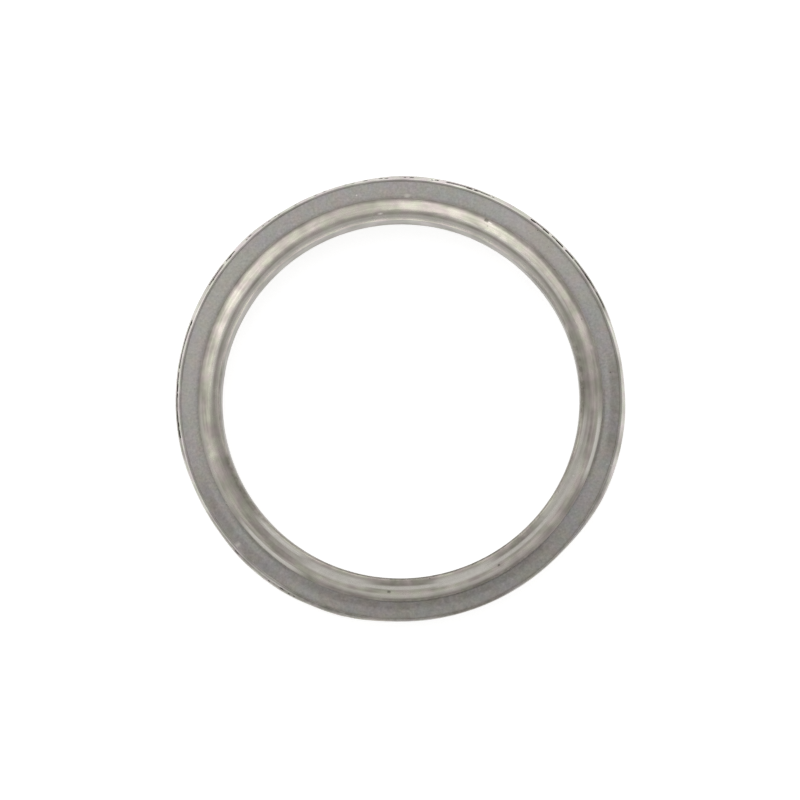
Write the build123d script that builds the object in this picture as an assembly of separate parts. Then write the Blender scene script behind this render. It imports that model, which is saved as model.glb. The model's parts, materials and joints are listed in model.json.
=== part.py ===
from build123d import *
from math import acos, asin, degrees, sin, radians
import os

# Exhaust gasket: one sheet of metal folded shut into a hollow ring, with its two ends lapped.
# Lengths are in millimetres. The ring lies on its back on the XY plane, its bead pointing up +Z,
# and the Z axis runs through the middle of the bore.

# Driving dimensions
bore_diameter = 44.0
sheet_thickness = 0.3
face_height = 3.9  # from the back to the flat pressed face
face_width = 2.11  # flat pressed face, from the lapped end out to the crease at the rim
rim_radius = 0.5  # round of the raised outer rim
rim_rise = 0.05  # top of the rim above the face
crease_radius = 0.1  # hollow between the rim and the face
bead_rise = 1.1  # crest of the bead above the face
nose_radius = 0.6  # round that takes the bead over into the bore
slope_width = 1.75  # from the crest of the bead out to the lip at its foot
foot_radius = 0.45  # hollow between the slope and the lip
lip_width = 0.3  # flat lip along the lapped end
lap_overlap = 1.0  # length of the tucked end that lies under the lip
lap_gap = 0.05  # hairline opening between the two ends
corner_radius = 0.6  # folds at the back, on the outside of the sheet

# Heights above the back
lip_height = face_height + lap_gap + sheet_thickness
crest_height = face_height + bead_rise
rim_height = face_height + rim_rise

# The slope is an arc, level at the crest and tangent to the hollow at its foot
slope_drop = crest_height - lip_height
slope_and_foot_radius = (slope_width**2 + slope_drop**2) / (2 * slope_drop)
slope_radius = slope_and_foot_radius - foot_radius
slope_angle = degrees(asin(slope_width / slope_and_foot_radius))

# The rim is an arc too, level at its top and tangent to the crease
rim_and_crease_radius = rim_radius + crease_radius
rim_angle = degrees(acos(1 - rim_rise / rim_and_crease_radius))
rim_reach = rim_and_crease_radius * sin(radians(rim_angle))

# Radii worked out from the bore outwards
bore_radius = bore_diameter / 2
crest_radius = bore_radius + nose_radius
lip_start_radius = crest_radius + slope_width
lap_radius = lip_start_radius + lip_width
tuck_radius = lap_radius - lap_overlap
face_end_radius = lap_radius + face_width
rim_top_radius = face_end_radius + rim_reach
outer_radius = rim_top_radius + rim_radius


# Each function below gives the edges of one stretch of the sheet, on its outside where inset is 0
# and on its inside where inset is the sheet's thickness
def bead_edges(inset):
    """From the lapped end over the crest of the bead to the bore wall."""
    foot_centre = (lip_start_radius, lip_height + foot_radius)
    slope_centre = (crest_radius, crest_height - slope_radius)
    nose_centre = (crest_radius, crest_height - nose_radius)
    lip = Line((lap_radius, lip_height - inset), (lip_start_radius, lip_height - inset))
    foot = CenterArc(foot_centre, foot_radius + inset, 270, -slope_angle)
    slope = CenterArc(slope_centre, slope_radius - inset, 90 - slope_angle, slope_angle)
    nose = CenterArc(nose_centre, nose_radius - inset, 90, 90)
    return [lip, foot, slope, nose]


def body_edges(inset):
    """Down the bore wall, across the back and up the outer wall, with round folds between."""
    bore_side = bore_radius + inset
    outer_side = outer_radius - inset
    bore_centre = (bore_radius + corner_radius, corner_radius)
    outer_centre = (outer_radius - corner_radius, corner_radius)
    bore_wall = Line((bore_side, crest_height - nose_radius), (bore_side, corner_radius))
    bore_fold = CenterArc(bore_centre, corner_radius - inset, 180, 90)
    back = Line((bore_radius + corner_radius, inset), (outer_radius - corner_radius, inset))
    outer_fold = CenterArc(outer_centre, corner_radius - inset, 270, 90)
    outer_wall = Line((outer_side, corner_radius), (outer_side, rim_height - rim_radius))
    return [bore_wall, bore_fold, back, outer_fold, outer_wall]


def face_edges(inset):
    """Round the rim, down into the crease and in along the face to the tucked end."""
    rim_centre = (rim_top_radius, rim_height - rim_radius)
    crease_centre = (face_end_radius, face_height + crease_radius)
    rim = CenterArc(rim_centre, rim_radius - inset, 0, 90 + rim_angle)
    crease = CenterArc(crease_centre, crease_radius + inset, 270 + rim_angle, -rim_angle)
    face = Line((face_end_radius, face_height - inset), (tuck_radius, face_height - inset))
    return [rim, crease, face]


def folded_section():
    """The cut through the folded sheet, closed at its two ends."""
    outside = bead_edges(0) + body_edges(0) + face_edges(0)
    inside = bead_edges(sheet_thickness) + body_edges(sheet_thickness) + face_edges(sheet_thickness)
    lapped_end = Line((lap_radius, lip_height), (lap_radius, lip_height - sheet_thickness))
    tucked_end = Line((tuck_radius, face_height), (tuck_radius, face_height - sheet_thickness))
    return make_face(outside + [tucked_end] + inside + [lapped_end])


def gasket_ring():
    """The section turned about the axis of the bore."""
    return revolve(Plane.XZ * folded_section(), Axis.Z)


os.makedirs("parts", exist_ok=True)
export_step(gasket_ring(), "parts/gasket_ring.step")
print("bore", bore_diameter, "outer diameter", round(2 * outer_radius, 3), "height", round(crest_height, 3))
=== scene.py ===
import bpy
import json
import math
import random
from mathutils import Matrix, Vector

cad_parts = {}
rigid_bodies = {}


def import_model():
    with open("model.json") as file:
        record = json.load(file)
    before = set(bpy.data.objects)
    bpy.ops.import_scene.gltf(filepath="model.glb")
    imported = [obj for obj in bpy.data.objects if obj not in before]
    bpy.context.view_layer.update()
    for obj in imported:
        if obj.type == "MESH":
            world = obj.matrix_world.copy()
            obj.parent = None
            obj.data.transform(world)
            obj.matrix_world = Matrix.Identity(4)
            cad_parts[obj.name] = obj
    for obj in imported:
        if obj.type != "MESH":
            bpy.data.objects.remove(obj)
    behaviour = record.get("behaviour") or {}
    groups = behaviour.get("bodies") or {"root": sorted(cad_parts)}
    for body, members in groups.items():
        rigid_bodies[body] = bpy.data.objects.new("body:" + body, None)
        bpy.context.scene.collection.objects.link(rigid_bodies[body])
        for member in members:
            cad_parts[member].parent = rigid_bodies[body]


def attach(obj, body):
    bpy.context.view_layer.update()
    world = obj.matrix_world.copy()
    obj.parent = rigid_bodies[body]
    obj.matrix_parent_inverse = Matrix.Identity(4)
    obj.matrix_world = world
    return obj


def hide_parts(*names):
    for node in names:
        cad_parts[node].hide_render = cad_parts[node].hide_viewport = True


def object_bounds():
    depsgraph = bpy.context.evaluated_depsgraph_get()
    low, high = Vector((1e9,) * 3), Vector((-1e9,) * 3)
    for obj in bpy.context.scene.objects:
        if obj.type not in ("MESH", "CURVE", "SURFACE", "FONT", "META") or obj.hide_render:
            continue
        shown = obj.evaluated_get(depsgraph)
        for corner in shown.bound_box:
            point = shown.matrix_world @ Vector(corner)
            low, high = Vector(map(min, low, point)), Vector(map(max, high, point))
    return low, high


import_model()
cadLow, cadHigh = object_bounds()

mm = 0.001
draw = random.Random(11)


# hex colour to the linear values a shader wants
def srgb(code):
    values = [int(code[i:i + 2], 16) / 255 for i in (1, 3, 5)]
    linear = [v / 12.92 if v <= 0.04045 else ((v + 0.055) / 1.055) ** 2.4 for v in values]
    return (*linear, 1.0)


# adds a node, sets its fields, then its inputs: a socket is linked, a plain value is typed in.
# An input goes by its name, or by its number where another one has the same name
def addNode(tree, kind, settings=None, inputs=None):
    node = tree.nodes.new(kind)
    for name, value in (settings or {}).items():
        setattr(node, name, value)
    for name, value in (inputs or {}).items():
        if isinstance(value, bpy.types.NodeSocket):
            tree.links.new(value, node.inputs[name])
        else:
            node.inputs[name].default_value = value
    return node


def newMaterial(name):
    material = bpy.data.materials.new(name)
    material.use_nodes = True
    material.node_tree.nodes.clear()
    return material


# an operator acts on all that is selected, so a new piece starts with nothing selected
def deselectAll():
    if bpy.context.object and bpy.context.object.mode != "OBJECT":
        bpy.ops.object.mode_set(mode="OBJECT")
    for thing in bpy.data.objects:
        thing.select_set(False)


view = {
    "target": (0, -0.16, 3.9),     # mm, middle of the pressed face
    "distance": 349.2,             # mm
    "elevation": 85.3,             # degrees above the floor
    "towards": (0.326, -0.946),    # the side of the ring that the camera leans over
    "lens": 129,                   # mm
    "sensor": 36,                  # mm
    "nearest": 10,                 # mm, what is nearer isn't drawn
}


def addCamera():
    lean = math.radians(view["elevation"])
    flat = Vector(view["towards"]).normalized() * math.cos(lean)
    target = Vector(view["target"]) * mm
    place = target + Vector((flat.x, flat.y, math.sin(lean))) * view["distance"] * mm
    forward = (target - place).normalized()
    right = forward.cross(Vector((0, 1, 0))).normalized()   # +Y is up in the picture
    up = right.cross(forward)
    data = bpy.data.cameras.new("camera")
    data.lens = view["lens"]
    data.sensor_width = view["sensor"]
    data.clip_start = view["nearest"] * mm
    camera = bpy.data.objects.new("camera", data)
    bpy.context.collection.objects.link(camera)
    turn = Matrix((right, up, -forward)).transposed().to_4x4()
    camera.matrix_world = Matrix.Translation(place) @ turn
    bpy.context.scene.camera = camera


addCamera()
print("camera ready")


# mm; the CAD's fold, with its slope, face and rim drawn finer than there.
# Radii run out from the bore's axis, heights up from the back
ring = {
    "outer": cadHigh.x / mm,
    "crest": cadHigh.z / mm,
    "bore": 22.0,
    "sheet": 0.3,
    "face": 3.9,
    "nose": 0.6,
    "lapEnd": 24.65,     # radius of the lapped end
    "lapTilt": 2,        # degrees that the sheet still slopes there
    "slopeTilt": 39.5,   # and where it is steepest
    "foot": 1.52,        # hollow from the steepest place to the lapped end
    "cutRound": 0.07,    # the sheared edge is worn a little round
    "overlap": 1.0,
    "dish": 3,           # degrees that the pressed face falls away towards the rim
    "rimPeak": 26.9,     # radius at which the rim is highest
    "rimRise": 0.06,     # above the crease
    "rimRoll": 0.25,     # tight roll on top of the rim
    "crease": 0.06,
    "shoulder": 50,      # degrees that the rim's shoulder leans from level
    "shoulderRound": 0.35,
    "corner": 0.6,
    "steps": 720,        # round the ring
    "joinWithin": 0.006,  # points of the section that are nearer than that are one
    "seamWithin": 0.001,
    "sharpOver": 50,     # degrees between two faces past which their edge shows
}


# a straight stretch of the section, from the vertex that is selected
def straight(dx, dz, cuts=1):
    for i in range(cuts):
        step = (dx * mm / cuts, 0, dz * mm / cuts)
        bpy.ops.mesh.extrude_region_move(TRANSFORM_OT_translate={"value": step})


# a round stretch; a positive angle turns counterclockwise with X to the right and Z up
def bend(x, z, degrees, cuts):
    bpy.ops.mesh.spin(steps=cuts, angle=math.radians(degrees), center=(x * mm, 0, z * mm),
                      axis=(0, 1, 0))


# one vertex, in edit mode: a small plane merged into its middle
def startSection(at):
    bpy.ops.mesh.primitive_plane_add(size=0.2 * mm, location=(at.x * mm, 0, at.y * mm))
    bpy.ops.object.transform_apply(location=True)
    bpy.ops.object.mode_set(mode="EDIT")
    bpy.ops.mesh.select_mode(type="VERT")
    bpy.ops.mesh.select_all(action="SELECT")
    bpy.ops.mesh.merge(type="CENTER")


def drawSection():
    r = ring
    crestX = r["bore"] + r["nose"]
    lapX = r["lapEnd"]
    steep = math.radians(r["slopeTilt"])
    shallow = math.radians(r["lapTilt"])
    footReach = r["foot"] * (math.sin(steep) - math.sin(shallow))
    slope = (lapX - crestX - footReach) / math.sin(steep)
    slopeZ = r["crest"] - slope
    footX = crestX + (slope + r["foot"]) * math.sin(steep)
    footZ = slopeZ + (slope + r["foot"]) * math.cos(steep)
    lipTop = footZ - r["foot"] * math.cos(shallow)
    footTurn = r["slopeTilt"] - r["lapTilt"]
    cutTurn = math.degrees(r["cutRound"] / r["foot"])    # of the foot, taken off by the worn edge
    # the cut at the end stands square to the sheet
    cutDown = Vector((-math.sin(shallow), -math.cos(shallow)))
    cutBack = Vector((-math.cos(shallow), math.sin(shallow)))
    wallTop = r["crest"] - r["nose"]
    lean = math.radians(r["shoulder"])
    dish = math.radians(r["dish"])
    rollAndCrease = r["rimRoll"] + r["crease"]
    rimFall = r["rimRoll"] + r["crease"] * math.cos(dish) - r["rimRise"]
    rimTurn = math.acos(rimFall / rollAndCrease)
    creaseX = r["rimPeak"] - rollAndCrease * math.sin(rimTurn)
    faceEndX = creaseX - r["crease"] * math.sin(dish)
    faceDrop = (faceEndX - lapX) * math.tan(dish)
    creaseZ = r["face"] - faceDrop + r["crease"] * math.cos(dish)
    rollZ = r["face"] - faceDrop + r["rimRise"] - r["rimRoll"]
    rimTurn = math.degrees(rimTurn)
    roundX = r["outer"] - r["shoulderRound"]
    shoulderX = roundX - r["rimPeak"] + (r["shoulderRound"] - r["rimRoll"]) * math.sin(lean)
    shoulderZ = shoulderX * math.tan(lean)
    roundZ = rollZ + (r["rimRoll"] - r["shoulderRound"]) * math.cos(lean) - shoulderZ
    backWidth = r["outer"] - r["bore"] - 2 * r["corner"]

    # outside of the sheet, from the lapped end over the bead and round the back to the tucked end
    startTilt = shallow + math.radians(cutTurn)
    start = Vector((footX - r["foot"] * math.sin(startTilt), footZ - r["foot"] * math.cos(startTilt)))
    startSection(start)
    bend(footX, footZ, cutTurn - footTurn, 8)
    bend(crestX, slopeZ, r["slopeTilt"], 16)
    bend(crestX, wallTop, 90, 12)
    straight(0, r["corner"] - wallTop, 4)
    bend(r["bore"] + r["corner"], r["corner"], 90, 5)
    straight(backWidth, 0, 3)
    bend(r["outer"] - r["corner"], r["corner"], 90, 5)
    straight(0, roundZ - r["corner"], 4)
    bend(roundX, roundZ, 90 - r["shoulder"], 4)
    straight(-shoulderX, shoulderZ, 4)
    bend(r["rimPeak"], rollZ, r["shoulder"] + rimTurn, 9)
    bend(creaseX, creaseZ, -rimTurn - r["dish"], 4)
    straight(lapX - faceEndX, faceDrop, 10)
    straight(-r["overlap"], 0, 2)
    straight(0, -r["sheet"])

    # inside of the sheet, back the same way
    insideX = r["outer"] - r["sheet"]
    insideZ = r["face"] - r["sheet"]
    straight(insideX - r["corner"] - lapX + r["overlap"], 0, 3)
    bend(insideX - r["corner"], insideZ - r["corner"], -90, 3)
    straight(0, 2 * r["corner"] - insideZ)
    bend(r["outer"] - r["corner"], r["corner"], -90, 3)
    straight(-backWidth, 0)
    bend(r["bore"] + r["corner"], r["corner"], -90, 3)
    straight(0, wallTop - r["corner"])
    bend(crestX, wallTop, -90, 4)
    bend(crestX, slopeZ, -r["slopeTilt"], 5)
    bend(footX, footZ, footTurn, 3)

    # the sheared end, up and round to where the section began
    straight(*(cutDown * (r["cutRound"] - r["sheet"])), 2)
    roundAt = Vector((lapX, lipTop)) + (cutDown + cutBack) * r["cutRound"]
    bend(roundAt.x, roundAt.y, 90, 4)
    bpy.ops.mesh.select_all(action="SELECT")
    bpy.ops.mesh.remove_doubles(threshold=r["joinWithin"] * mm)


def makeRing():
    deselectAll()
    drawSection()
    bpy.ops.object.mode_set(mode="OBJECT")
    piece = bpy.context.object
    piece.name = "foldedRing"
    piece.data.name = "foldedRing"
    turn = piece.modifiers.new("turn", "SCREW")    # once round the Z axis, closed on itself
    turn.steps = turn.render_steps = ring["steps"]
    turn.use_merge_vertices = True
    turn.merge_threshold = ring["seamWithin"] * mm
    bpy.ops.object.modifier_apply(modifier="turn")
    bpy.ops.object.mode_set(mode="EDIT")
    bpy.ops.mesh.select_all(action="SELECT")
    bpy.ops.mesh.normals_make_consistent(inside=False)
    bpy.ops.object.mode_set(mode="OBJECT")
    bpy.ops.object.shade_smooth_by_angle(angle=math.radians(ring["sharpOver"]))
    return piece


foldedRing = makeRing()
print("folded ring", len(foldedRing.data.vertices), "vertices", len(foldedRing.data.polygons), "faces")


# stainless sheet matted by the press: dull and even, with a faint cool and warm mottle and fine specks
def pressedSteel():
    material = newMaterial("pressedSteel")
    tree = material.node_tree
    place = addNode(tree, "ShaderNodeTexCoord").outputs["Object"]
    cloud = addNode(tree, "ShaderNodeTexNoise", None,
                    {"Vector": place, "Scale": 1 / (2.2 * mm), "Detail": 3.0, "Roughness": 0.6})
    mottle = addNode(tree, "ShaderNodeMapRange", None,
                     {"Value": cloud.outputs["Fac"], "From Min": 0.35, "From Max": 0.65})
    tint = addNode(tree, "ShaderNodeMix", {"data_type": "RGBA"},
                   {"Factor": mottle.outputs["Result"],
                    6: srgb("#bab9b8"),    # cool
                    7: srgb("#c0bab2")})   # warm
    # the real grain is finer: 0.28 mm is as coarse as it has to be to show
    grain = addNode(tree, "ShaderNodeTexNoise", None,
                    {"Vector": place, "Scale": 1 / (0.28 * mm), "Detail": 4.0, "Roughness": 0.7})
    shade = addNode(tree, "ShaderNodeMapRange", None,
                    {"Value": grain.outputs["Fac"], "From Min": 0.3, "From Max": 0.7,
                     "To Min": 0.82, "To Max": 1.18})
    grained = addNode(tree, "ShaderNodeVectorMath", {"operation": "SCALE"},
                      {"Vector": tint.outputs[2], "Scale": shade.outputs["Result"]})
    heated = addHeatTint(tree, place, grained.outputs["Vector"], "#fffbff", "#fafef9")
    lighter = addSpecks(tree, place, heated, 1.9, 0.14, 0.3, "#eeebe4")
    darker = addSpecks(tree, place, lighter, 1.5, 0.11, 0.3, "#6a645b")
    # the dark film #6d675e is also painted shade and the rubbed colour #dedad2 is also painted
    # highlight, both laid by the points' layers
    wornAndLit = addFilmAndLight(tree, place, darker, "#6d675e", "#dedad2")
    gloss = addNode(tree, "ShaderNodeMapRange", None,
                    {"Value": cloud.outputs["Fac"], "From Min": 0.3, "From Max": 0.7,
                     "To Min": 0.55, "To Max": 0.65})
    bump = addNode(tree, "ShaderNodeBump", None,
                   {"Height": grain.outputs["Fac"], "Strength": 0.35, "Distance": 0.02 * mm})
    shader = addNode(tree, "ShaderNodeBsdfPrincipled", None,
                     {"Base Color": wornAndLit, "Metallic": 1.0, "Roughness": gloss.outputs["Result"],
                      "Normal": bump.outputs["Normal"]})
    addNode(tree, "ShaderNodeOutputMaterial", None, {"Surface": shader.outputs["BSDF"]})
    return material


# lays the dark film with painted shade, and the rubbed places with painted highlights, that the piece's
# points carry, over a colour
def addFilmAndLight(tree, place, colour, film, rubbedAndHighlight):
    crumbs = addNode(tree, "ShaderNodeTexNoise", None,
                     {"Vector": place, "Scale": 1 / (0.7 * mm), "Detail": 4.0, "Roughness": 0.65})
    # the crumbs thin each layer here and there, to no less than that share of it
    for name, paint, least in (("sootAndShade", film, 0.5), ("rubbedAndHighlight", rubbedAndHighlight, 0.75)):
        broken = addNode(tree, "ShaderNodeMapRange", None,
                         {"Value": crumbs.outputs["Fac"], "From Min": 0.32, "From Max": 0.6,
                          "To Min": least})
        amount = addNode(tree, "ShaderNodeAttribute", {"attribute_name": name})
        share = addNode(tree, "ShaderNodeMath", {"operation": "MULTIPLY"},
                        {0: amount.outputs["Fac"], 1: broken.outputs["Result"]})
        layer = addNode(tree, "ShaderNodeMix", {"data_type": "RGBA"},
                        {"Factor": share.outputs[0], 6: colour, 7: srgb(paint)})
        colour = layer.outputs[2]
    return colour


# the exhaust's heat has tinted the steel faintly, here rose and there straw, in clouds of 1.6 mm
def addHeatTint(tree, place, colour, rose, straw):
    heat = addNode(tree, "ShaderNodeTexNoise", None,
                   {"Vector": place, "Scale": 1 / (1.6 * mm), "Detail": 2.0})
    hue = addNode(tree, "ShaderNodeMapRange", None,
                  {"Value": heat.outputs["Fac"], "From Min": 0.38, "From Max": 0.62})
    tint = addNode(tree, "ShaderNodeMix", {"data_type": "RGBA"},
                   {"Factor": hue.outputs["Result"], 6: srgb(rose), 7: srgb(straw)})
    heated = addNode(tree, "ShaderNodeVectorMath", {"operation": "MULTIPLY"},
                     {0: colour, 1: tint.outputs[2]})
    return heated.outputs["Vector"]


# spots of about that radius in mm over a colour, one to a cell, in that share of the cells
def addSpecks(tree, place, colour, cell, radius, share, paint):
    middle = 0.3    # of the radius, which has the full colour
    cells = addNode(tree, "ShaderNodeTexVoronoi", None, {"Vector": place, "Scale": 1 / (cell * mm)})
    near = addNode(tree, "ShaderNodeMapRange", None,
                   {"Value": cells.outputs["Distance"],
                    "From Min": radius / cell, "From Max": middle * radius / cell})
    pick = addNode(tree, "ShaderNodeSeparateXYZ", None, {"Vector": cells.outputs["Color"]})
    kept = addNode(tree, "ShaderNodeMath", {"operation": "LESS_THAN"}, {0: pick.outputs["X"], 1: share})
    both = addNode(tree, "ShaderNodeMath", {"operation": "MULTIPLY"},
                   {0: near.outputs["Result"], 1: kept.outputs[0]})
    spotted = addNode(tree, "ShaderNodeMix", {"data_type": "RGBA"},
                      {"Factor": both.outputs[0], 6: colour, 7: srgb(paint)})
    return spotted.outputs[2]


# the same sheet burnished by the rolls: smoother and warmer, with soft streaks along the ring
def rolledSteel(name, pale, deep, smooth, dull):
    material = newMaterial(name)
    tree = material.node_tree
    place = addNode(tree, "ShaderNodeTexCoord").outputs["Object"]
    axis = addNode(tree, "ShaderNodeSeparateXYZ", None, {"Vector": place})
    flat = addNode(tree, "ShaderNodeCombineXYZ", None,
                   {"X": axis.outputs["X"], "Y": axis.outputs["Y"], "Z": 0.0})
    out = addNode(tree, "ShaderNodeVectorMath", {"operation": "LENGTH"},
                  {"Vector": flat.outputs["Vector"]})
    # one streak is about 0.25 mm across and 5 mm long, so radius and height run faster than X and Y.
    # The real ones are finer and wouldn't show
    streakLength = 5 * mm
    stretch = 20.0
    across = addNode(tree, "ShaderNodeMath", {"operation": "MULTIPLY"},
                     {0: out.outputs["Value"], 1: stretch})
    upward = addNode(tree, "ShaderNodeMath", {"operation": "MULTIPLY"},
                     {0: axis.outputs["Z"], 1: stretch})
    along = addNode(tree, "ShaderNodeCombineXYZ", None,
                    {"X": axis.outputs["X"], "Y": axis.outputs["Y"], "Z": upward.outputs[0]})
    streak = addNode(tree, "ShaderNodeTexNoise", {"noise_dimensions": "4D"},
                     {"Vector": along.outputs["Vector"], "W": across.outputs[0],
                      "Scale": 1 / streakLength, "Detail": 3.0})
    cloud = addNode(tree, "ShaderNodeTexNoise", None,
                    {"Vector": place, "Scale": 1 / (2.5 * mm), "Detail": 4.0})
    blend = addNode(tree, "ShaderNodeMix", {"data_type": "FLOAT"},
                    {"Factor": 0.6, "A": streak.outputs["Fac"], "B": cloud.outputs["Fac"]})
    spread = addNode(tree, "ShaderNodeMapRange", None,
                     {"Value": blend.outputs["Result"], "From Min": 0.35, "From Max": 0.65})
    tint = addNode(tree, "ShaderNodeMix", {"data_type": "RGBA"},
                   {"Factor": spread.outputs["Result"], 6: srgb(deep), 7: srgb(pale)})
    heated = addHeatTint(tree, place, tint.outputs[2], "#fff8ff", "#f8fdf6")
    lighter = addSpecks(tree, place, heated, 2.1, 0.15, 0.3, "#ece8e0")
    darker = addSpecks(tree, place, lighter, 1.7, 0.13, 0.3, "#7b756b")
    # the dark film #5c574e is also painted shade and the rubbed colour #f4f0e8 is also painted
    # highlight, both laid by the points' layers
    wornAndLit = addFilmAndLight(tree, place, darker, "#5c574e", "#f4f0e8")
    # the film and painted shade have no metal gloss of their own
    sootAndShade = addNode(tree, "ShaderNodeAttribute", {"attribute_name": "sootAndShade"}).outputs["Fac"]
    metal = addNode(tree, "ShaderNodeMapRange", None, {"Value": sootAndShade, "To Min": 1.0, "To Max": 0.5})
    gloss = addNode(tree, "ShaderNodeMapRange", None,
                    {"Value": blend.outputs["Result"], "From Min": 0.35, "From Max": 0.65,
                     "To Min": dull, "To Max": smooth})
    matt = addNode(tree, "ShaderNodeMapRange", None,
                   {"Value": sootAndShade, "To Min": gloss.outputs["Result"], "To Max": 0.6})
    bump = addNode(tree, "ShaderNodeBump", None,
                   {"Height": streak.outputs["Fac"], "Strength": 0.25, "Distance": 0.02 * mm})
    shader = addNode(tree, "ShaderNodeBsdfPrincipled", None,
                     {"Base Color": wornAndLit, "Metallic": metal.outputs["Result"],
                      "Roughness": matt.outputs["Result"], "Normal": bump.outputs["Normal"]})
    addNode(tree, "ShaderNodeOutputMaterial", None, {"Surface": shader.outputs["BSDF"]})
    return material


# soot and oil packed into nicks and pits, and the painted shade of the torn grooves' hollows: nearly
# black, without gloss
def pittedGrimeAndShade():
    material = newMaterial("pittedGrimeAndShade")
    tree = material.node_tree
    place = addNode(tree, "ShaderNodeTexCoord").outputs["Object"]
    crumb = addNode(tree, "ShaderNodeTexNoise", None,
                    {"Vector": place, "Scale": 1 / (0.3 * mm), "Detail": 3.0})
    tint = addNode(tree, "ShaderNodeMix", {"data_type": "RGBA"},
                   {"Factor": crumb.outputs["Fac"], 6: srgb("#24211d"), 7: srgb("#59534a")})
    shader = addNode(tree, "ShaderNodeBsdfPrincipled", None,
                     {"Base Color": tint.outputs[2], "Metallic": 0.0, "Roughness": 0.8})
    addNode(tree, "ShaderNodeOutputMaterial", None, {"Surface": shader.outputs["BSDF"]})
    return material


# the material slots, in the order in which paintRing fills them
finishes = ["bead", "face", "rim", "wall", "grimeAndShade"]

# mm; where a finish ends
finishEnds = {
    "rimInside": 0.12,       # the rim's polish starts that far inside its peak
    "rimDown": 0.9,          # and reaches that far below the face
    "rimMatted": 0.5,        # share of the knock past which the rim is as matt as the face
    "beadUp": 0.05,          # the bead's polish starts that far above the face
    "beadOver": 0.01,        # and takes in the worn edge of the lap
    "faceDown": 0.2,         # the face falls away by less than that
    "creaseInside": 0.22,    # and ends that far inside the rim's peak
    "backUp": 0.02,          # what is lower is the back, which is pressed flat too
}


def paintRing(piece):
    made = [
        rolledSteel("rolledBead", "#d0cbc0", "#a5a097", 0.22, 0.34),
        pressedSteel(),
        rolledSteel("rolledRim", "#d4d1cb", "#a4a099", 0.2, 0.32),
        rolledSteel("rolledWall", "#a9a59c", "#8a867d", 0.3, 0.42),
        pittedGrimeAndShade(),
    ]
    for finish in made:
        piece.data.materials.append(finish)
    ends = finishEnds
    faceStart = ring["lapEnd"] - ring["overlap"]
    faceEnd = ring["rimPeak"] - ends["creaseInside"]
    rimStart = ring["rimPeak"] - ends["rimInside"]
    for face in piece.data.polygons:
        turned, out, high = polar(face.center)
        part = "wall"
        if high > ring["face"] - ends["rimDown"] and out > rimStart:
            part = "face" if knocked(turned) > ends["rimMatted"] else "rim"
        elif high > ring["face"] + ends["beadUp"] and out < ring["lapEnd"] + ends["beadOver"]:
            part = "bead"
        elif high > ring["face"] - ends["faceDown"] and faceStart < out < faceEnd:
            part = "face"
        elif high < ends["backUp"]:
            part = "face"
        face.material_index = finishes.index(part)


# clockwise degrees from +Y, radius and height in mm
def polar(point):
    turned = math.degrees(math.atan2(point.x, point.y)) % 360
    return turned, math.hypot(point.x, point.y) / mm, point.z / mm


def flatPoint(turned, out):
    angle = math.radians(turned)
    return Vector((math.sin(angle), math.cos(angle), 0)) * out * mm


# degrees between two directions, the short way round
def apart(turned, middle):
    return abs((turned - middle + 180) % 360 - 180)


# ends in edit mode, with just the faces that pass selected
def selectFaces(piece, wanted):
    bpy.ops.object.mode_set(mode="EDIT")
    bpy.ops.mesh.select_mode(type="FACE")
    bpy.ops.mesh.select_all(action="DESELECT")
    bpy.ops.object.mode_set(mode="OBJECT")
    for face in piece.data.polygons:
        face.select = wanted(*polar(face.center))
    bpy.ops.object.mode_set(mode="EDIT")


def paintSelected(piece, part):
    bpy.ops.object.mode_set(mode="OBJECT")
    for face in piece.data.polygons:
        if face.select:
            face.material_index = finishes.index(part)


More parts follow.
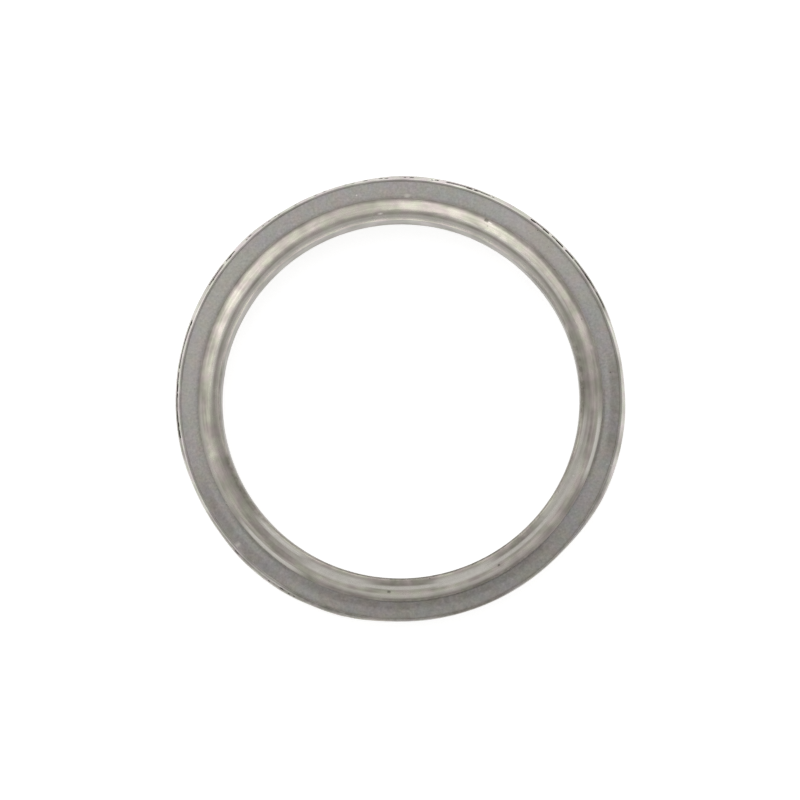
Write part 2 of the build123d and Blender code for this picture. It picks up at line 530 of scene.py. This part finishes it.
# mm and clockwise degrees from +Y
wear = {
    # stretches of the rim's shoulder that are torn into a dark groove
    "grooves": [(12, 25), (36, 47), (48, 66), (260, 291), (301, 312)],
    "grooveParts": (2, 6),       # a groove is made of that many lengths, then breaks off
    "groovePart": (0.5, 2.2),    # degrees
    "grooveBreak": (0, 1.1),     # degrees
    "grooveFrom": 0.27,          # outside the rim's peak; the strips run from there
    "grooveStrips": [(0, 0.3), (0.06, 0.3), (0.06, 0.22), (0.12, 0.3), (0.12, 0.22)],
    "grooveAbove": 3.5,
    "grooveInset": 0.01,
    "grooveDepth": 0.07,
    # stretches with short nicks, and their share of it
    "crumbs": [(316, 372, 0.35), (208, 240, 0.2)],
    "crumbLength": (0.3, 1.3),    # degrees
    "crumbStep": (0.6, 1.4),      # times the mean step
    "crumbStrips": (0, 0.06, 0.12, 0.18),
    "crumbWidths": (0.06, 0.08, 0.12),
    # where the outer edge is knocked in: middle, half width, fade each side, share of knockIn
    "knocks": [(158, 22, 24, 1.0), (198, 4, 11, 0.3), (338, 8, 15, 0.42), (80, 5, 12, 0.3),
               (240, 5, 12, 0.3)],
    "knockIn": 0.42,
    "knockFrom": 26.97,     # radius that stays as it was
    "knockInside": 0.2,     # inside the fold, the sheet is pressed from that much further in
    "cavityBeside": 0.01,   # slack when the inside of the fold is told from its skin
    "cavityAbove": 0.001,
    # dark film and painted shade: middle in degrees, half length in degrees, radius, half width,
    # strength
    "sootAndShade": [
        # edge of the bore and nose of the bead: stain, with painted shade at 82 and 240 degrees where
        # the nose mirrors the ring's shadow on the floor
        (82, 24, 22.15, 0.5, 0.75), (240, 20, 22.15, 0.5, 0.7), (155, 130, 22.0, 0.35, 0.6),
        (168, 50, 21.95, 0.35, 1), (58, 18, 22.0, 0.3, 0.6), (268, 22, 22.0, 0.3, 0.6),
        (116, 13, 22.2, 0.3, 0.6), (138, 16, 22.5, 0.4, 0.45), (181, 18, 22.5, 0.4, 0.45),
        (132, 10, 22.4, 0.22, 0.5), (182, 14, 22.3, 0.2, 0.5),
        # slope of the bead: brown stains, and painted shade that dims the outer part of its highlight
        # at 20 to 76 and 250 to 310 degrees
        (70, 35, 22.9, 0.45, 0.2), (222, 20, 23.4, 0.5, 0.4), (100, 12, 23.4, 0.35, 0.35),
        (218, 9, 23.75, 0.3, 0.38), (90, 20, 23.9, 0.25, 0.2), (280, 30, 24.0, 0.6, 0.25),
        (48, 28, 24.3, 0.35, 0.42),
        # pits and a nick in the bead
        (130, 0.5, 22.66, 0.2, 0.8), (149.4, 0.5, 23.5, 0.2, 0.7), (183.2, 0.7, 23.5, 0.22, 0.7),
        (25.9, 0.9, 24.25, 0.3, 0.7), (27.5, 0.8, 24.5, 0.2, 0.6),
        # along the lip: painted shade, the dark end of the lap and the shadow just outside its edge
        (330, 115, 24.65, 0.3, 0.3), (165, 35, 24.6, 0.35, 0.55), (140, 9, 24.7, 0.35, 0.5),
        (181, 9, 24.65, 0.35, 0.45), (102, 20, 24.8, 0.2, 0.45), (222, 18, 24.8, 0.2, 0.4),
        # pressed face: painted shade, the bead's shadow beside it at the bottom and the face darker
        # towards the bottom and the sides
        (170, 60, 25.25, 0.65, 0.45), (160, 60, 26, 2, 0.2), (93, 19, 26.15, 0.75, 0.4),
        (230, 24, 26.15, 0.75, 0.32),
        # crease and rim: painted shade in the crease, and darker patches on the rim that are partly
        # stain and partly painted shade
        (130, 120, 26.68, 0.18, 0.45), (160, 14, 26.9, 0.25, 0.6), (199, 14, 27.1, 0.5, 0.7),
        (120, 14, 27.1, 0.35, 0.5), (60, 12, 27.3, 0.28, 0.8), (222, 26, 27.32, 0.35, 0.65),
        (262, 12, 27.35, 0.25, 0.8),
    ],
    # and rubbed bright, in the same way; most of it is painted highlight
    "rubbedAndHighlight": [
        # nose of the bead: painted highlights where it mirrors the softboxes and the bright floor, and
        # a small mark at 354 degrees
        (350, 100, 22.32, 0.25, 0.5), (220, 13, 22.55, 0.3, 1), (103, 12, 22.62, 0.28, 0.6),
        (354, 0.8, 22.7, 0.15, 1),
        # top of its slope: painted highlights, a bright line round the bottom and the slope's highlight
        # drawn further in at 40 and 290 degrees
        (120, 18, 22.9, 0.75, 0.6), (160, 14, 22.95, 0.65, 1), (200, 16, 22.95, 0.65, 0.9),
        (160, 75, 23.05, 0.3, 0.9), (40, 34, 22.97, 0.25, 0.6), (290, 30, 22.97, 0.25, 0.45),
        # foot of its slope, to the lip: painted highlights, the thin bright lines on the lip and the
        # glint beside the nick at 27 degrees
        (172, 42, 24.05, 0.3, 0.4), (27.2, 0.9, 24.15, 0.1, 0.7), (104, 13, 24.37, 0.28, 1.2),
        (221, 15, 24.37, 0.28, 1.2), (252, 25, 24.4, 0.3, 0.4),
        # pressed face: a mark and a scratch, and painted light that makes the face brighter towards the
        # top
        (2, 0.8, 24.95, 0.2, 1), (228, 0.7, 26.5, 0.35, 1), (44, 28, 25.8, 1.2, 0.2),
        (288, 34, 25.8, 1.2, 0.2),
    ],
    "patchesFrom": 3.2,      # height above which the film, painted shade, rubbed places and painted highlights are painted
    "patchesFade": 0.35,     # height over which they come in
    "filmEdge": 1.6,      # a patch is full over its middle and fades over its outer two thirds
    "oval": (0.997, 0.993, 1),    # the bore is a hair out of round
    # middle in degrees, radius and depth
    "pits": [(130, 22.66, 0.03), (149.4, 23.5, 0.03), (183.2, 23.5, 0.03), (25.9, 24.25, 0.04)],
    "pitAbove": 4.1,
    "pitReach": 0.45,     # the mesh is made finer that far round a pit
    "pitRadius": 0.1,     # of its floor
    "pitFade": 0.16,      # and how far its sides run out from there
    "waveFrom": 3.3,      # height; slow waves over the whole upper side
    "waveLength": 6,
    "waveDepth": 0.04,
    "hammerFrom": 4.05,   # height; dents of the bead
    "hammerOut": 24.6,
    "hammerLength": 1.3,
    "hammerDepth": 0.06,
    "rimFrom": 3.2,       # height; ragged rim
    "rimOut": 26.85,
    "rimLength": 0.7,
    "rimDepth": 0.04,
}


# short torn grooves along the shoulder of the rim, with a break every few degrees
def cutGrooves(piece):
    shoulderLow = ring["rimPeak"] + wear["grooveFrom"]
    stretches = []
    for begin, end in wear["grooves"]:
        at = begin
        while at < end:
            # a groove is made of short lengths, each of its own width
            for i in range(draw.randint(*wear["grooveParts"])):
                length = draw.uniform(*wear["groovePart"])
                low, top = draw.choice(wear["grooveStrips"])
                stretches.append((at, min(at + length, end), shoulderLow + low, shoulderLow + top))
                at += length
            at += draw.uniform(*wear["grooveBreak"])
    for begin, end, share in wear["crumbs"]:
        at = begin
        while at < end:
            length = draw.uniform(*wear["crumbLength"])
            strip = draw.choice(wear["crumbStrips"])
            width = draw.choice(wear["crumbWidths"])
            start = at % 360
            inner = shoulderLow + strip
            stretches.append((start, start + length, inner, inner + width))
            at += length / share * draw.uniform(*wear["crumbStep"])

    def torn(turned, out, high):
        if high < wear["grooveAbove"]:
            return False
        return any(low <= turned <= top and inner < out < outer for low, top, inner, outer in stretches)

    selectFaces(piece, torn)
    bpy.ops.mesh.inset(thickness=wear["grooveInset"] * mm, depth=0)
    bpy.ops.transform.shrink_fatten(value=-wear["grooveDepth"] * mm)
    bpy.ops.mesh.select_more()    # the sides of the groove take the painted shade too
    # the torn grooves and their sides painted near black: grime, and painted shade in the recess
    paintSelected(piece, "grimeAndShade")


def fade(x):
    x = min(max(x, 0), 1)
    return x * x * (3 - 2 * x)


# how far the outer edge is knocked in at that angle, from 0 to 1
def knocked(turned):
    most = 0
    for middle, halfWidth, taper, share in wear["knocks"]:
        off = apart(turned, middle) - halfWidth
        most = max(most, share * fade(1 - off / taper))
    return most


# presses what lies outside a cylinder of that radius towards it, more where the edge was knocked
def knockIn(piece, name, radius, wanted):
    group = piece.vertex_groups.new(name=name)
    for vertex in piece.data.vertices:
        turned, out, high = polar(vertex.co)
        weight = knocked(turned)
        if weight > 0 and out > radius and wanted(out, high):
            group.add([vertex.index], weight, "REPLACE")
    press = piece.modifiers.new(name, "CAST")
    press.cast_type = "CYLINDER"
    press.use_z = False
    press.use_radius_as_size = False
    press.size = radius * mm
    press.factor = wear["knockIn"] / (ring["outer"] - wear["knockFrom"])
    press.vertex_group = name
    bpy.ops.object.modifier_apply(modifier=name)
    piece.vertex_groups.remove(piece.vertex_groups[name])


def dentPits(piece):
    for turned, out, depth in wear["pits"]:
        middle = flatPoint(turned, out)

        def near(reach):
            def test(angle, radius, high):
                away = (flatPoint(angle, radius) - middle).length
                return high > wear["pitAbove"] and away < reach * mm
            return test

        selectFaces(piece, near(wear["pitReach"]))
        bpy.ops.mesh.subdivide(number_cuts=3)
        selectFaces(piece, near(wear["pitRadius"]))
        bpy.ops.transform.translate(value=(0, 0, -depth * mm), use_proportional_edit=True,
                                    proportional_edit_falloff="SMOOTH",
                                    proportional_size=wear["pitFade"] * mm)
        bpy.ops.object.mode_set(mode="OBJECT")


# clouds of that size in mm that only push down, so nothing leaves the CAD's box
def ripple(piece, name, wanted, length, depth, direction):
    group = piece.vertex_groups.new(name=name)
    group.add([v.index for v in piece.data.vertices if wanted(*polar(v.co))], 1.0, "REPLACE")
    clouds = bpy.data.textures.new(name, "CLOUDS")
    clouds.noise_scale = length * mm
    push = piece.modifiers.new(name, "DISPLACE")
    push.texture = clouds
    push.texture_coords = "LOCAL"
    push.direction = direction
    push.mid_level = 1.0
    push.strength = depth * mm
    push.vertex_group = name
    bpy.ops.object.modifier_apply(modifier=name)
    piece.vertex_groups.remove(piece.vertex_groups[name])


def ovalBore(piece):
    selectFaces(piece, onBoreSide)
    bpy.ops.transform.resize(value=wear["oval"], center_override=(0, 0, 0))
    bpy.ops.object.mode_set(mode="OBJECT")


# writes on each point of the upper side how much dark film and painted shade there is, and how much it
# is rubbed bright and carries painted highlights
def paintWearAndLight(piece):
    edge = wear["filmEdge"]
    for name in ("sootAndShade", "rubbedAndHighlight"):
        layer = piece.data.attributes.new(name, "FLOAT", "POINT")
        for vertex, point in zip(piece.data.vertices, layer.data):
            turned, out, high = polar(vertex.co)
            if high < wear["patchesFrom"]:
                continue
            lower = fade((high - wear["patchesFrom"]) / wear["patchesFade"])
            for middle, halfLength, radius, halfWidth, strength in wear[name]:
                along = 1 - apart(turned, middle) / halfLength
                across = 1 - abs(out - radius) / halfWidth
                if along > 0 and across > 0:
                    amount = strength * fade(edge * along) * fade(edge * across) * lower
                    point.value = max(point.value, amount)


def onUpperSide(turned, out, high):
    return high > wear["waveFrom"]


def onBead(turned, out, high):
    return high > wear["hammerFrom"] and out < wear["hammerOut"]


def onRim(turned, out, high):
    return high > wear["rimFrom"] and out > wear["rimOut"]


def onBoreSide(turned, out, high):
    return out < ring["bore"] + ring["nose"] / 2


# the far side of the sheet, inside the fold
def onCavity(out, high):
    outermost = ring["outer"] - ring["sheet"] + wear["cavityBeside"]
    lowest = ring["sheet"] - wear["cavityBeside"]
    highest = ring["face"] - ring["sheet"] + wear["cavityAbove"]
    return out < outermost and lowest < high < highest


def onSkin(out, high):
    return not onCavity(out, high)


paintRing(foldedRing)
cutGrooves(foldedRing)
print("grooves cut")
dentPits(foldedRing)
print("pits dented")
ripple(foldedRing, "wave", onUpperSide, wear["waveLength"], wear["waveDepth"], "Z")
ripple(foldedRing, "hammered", onBead, wear["hammerLength"], wear["hammerDepth"], "NORMAL")
ripple(foldedRing, "ragged", onRim, wear["rimLength"], wear["rimDepth"], "NORMAL")
print("sheet rippled")
knockIn(foldedRing, "knockInside", wear["knockFrom"] - wear["knockInside"], onCavity)
knockIn(foldedRing, "knockOutside", wear["knockFrom"], onSkin)
paintWearAndLight(foldedRing)
ovalBore(foldedRing)
print("outline knocked out of round")
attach(foldedRing, "root")
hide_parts("gasket_ring")


studio = {
    "floorSize": 3000,        # mm
    "floorGlow": 0.7,
    "overhead": 0.62,         # strength of the world behind the camera
    "overheadFrom": (0.08, -0.23, 0.97),
    "overheadEdge": 0.42,     # cosine of the angle from there at which it starts to darken
    "around": 0.92,           # and everywhere else
    # each softbox: clockwise degrees from +Y, distance, width and height in mm, radiance
    "softboxes": [(30, 110, 165, 105, 0.4), (297, 110, 175, 105, 0.37),
                  (20, 108, 45, 90, 0.5), (300, 108, 45, 90, 0.5),
                  (335, 125, 200, 170, 0.2)],
}


def addFloor():
    deselectAll()
    bpy.ops.mesh.primitive_plane_add(size=studio["floorSize"] * mm)
    floor = bpy.context.object
    floor.name = "studioFloor"
    material = newMaterial("whiteFloor")
    tree = material.node_tree
    ray = addNode(tree, "ShaderNodeLightPath")
    seen = addNode(tree, "ShaderNodeMath", {"operation": "MAXIMUM"},
                   {0: ray.outputs["Is Camera Ray"], 1: ray.outputs["Is Glossy Ray"]})
    either = addNode(tree, "ShaderNodeMath", {"operation": "MAXIMUM"},
                     {0: seen.outputs[0], 1: ray.outputs["Is Transmission Ray"]})
    paper = addNode(tree, "ShaderNodeBsdfDiffuse", None, {"Color": srgb("#d8d8d8")})
    glow = addNode(tree, "ShaderNodeEmission", None, {"Strength": studio["floorGlow"]})
    both = addNode(tree, "ShaderNodeAddShader", None,
                   {0: paper.outputs["BSDF"], 1: glow.outputs["Emission"]})
    choose = addNode(tree, "ShaderNodeMixShader", None,
                     {"Fac": either.outputs[0], 1: paper.outputs["BSDF"], 2: both.outputs["Shader"]})
    addNode(tree, "ShaderNodeOutputMaterial", None, {"Surface": choose.outputs["Shader"]})
    floor.data.materials.append(material)


def addWorld():
    world = bpy.data.worlds.new("tent")
    bpy.context.scene.world = world
    world.use_nodes = True
    tree = world.node_tree
    tree.nodes.clear()
    look = addNode(tree, "ShaderNodeTexCoord").outputs["Generated"]
    near = addNode(tree, "ShaderNodeVectorMath", {"operation": "DOT_PRODUCT"},
                   {0: look, 1: studio["overheadFrom"]})
    high = addNode(tree, "ShaderNodeMapRange", {"interpolation_type": "SMOOTHSTEP"},
                   {"Value": near.outputs["Value"], "From Min": studio["overheadEdge"], "From Max": 1.0,
                    "To Min": studio["around"], "To Max": studio["overhead"]})
    ray = addNode(tree, "ShaderNodeLightPath")
    shown = addNode(tree, "ShaderNodeMix", {"data_type": "FLOAT"},
                    {"Factor": ray.outputs["Is Camera Ray"], "A": high.outputs["Result"], "B": 1.0})
    back = addNode(tree, "ShaderNodeBackground", None, {"Strength": shown.outputs["Result"]})
    addNode(tree, "ShaderNodeOutputWorld", None, {"Surface": back.outputs["Background"]})


# an upright sheet of light that stands on the floor and faces the ring
def addSoftbox(name, turned, distance, width, height, radiance):
    data = bpy.data.lights.new(name, "AREA")
    data.shape = "RECTANGLE"
    data.size = width * mm
    data.size_y = height * mm
    data.energy = radiance * math.pi * data.size * data.size_y
    lamp = bpy.data.objects.new(name, data)
    bpy.context.collection.objects.link(lamp)
    side = Vector((math.sin(math.radians(turned)), math.cos(math.radians(turned)), 0))
    lamp.location = side * distance * mm + Vector((0, 0, height / 2 * mm))
    lamp.rotation_euler = (-side).to_track_quat("-Z", "Y").to_euler()


addFloor()
addWorld()
for number, box in enumerate(studio["softboxes"]):
    addSoftbox("softbox" + str(number), *box)
bpy.context.scene.view_settings.view_transform = "Standard"
print("studio lit")
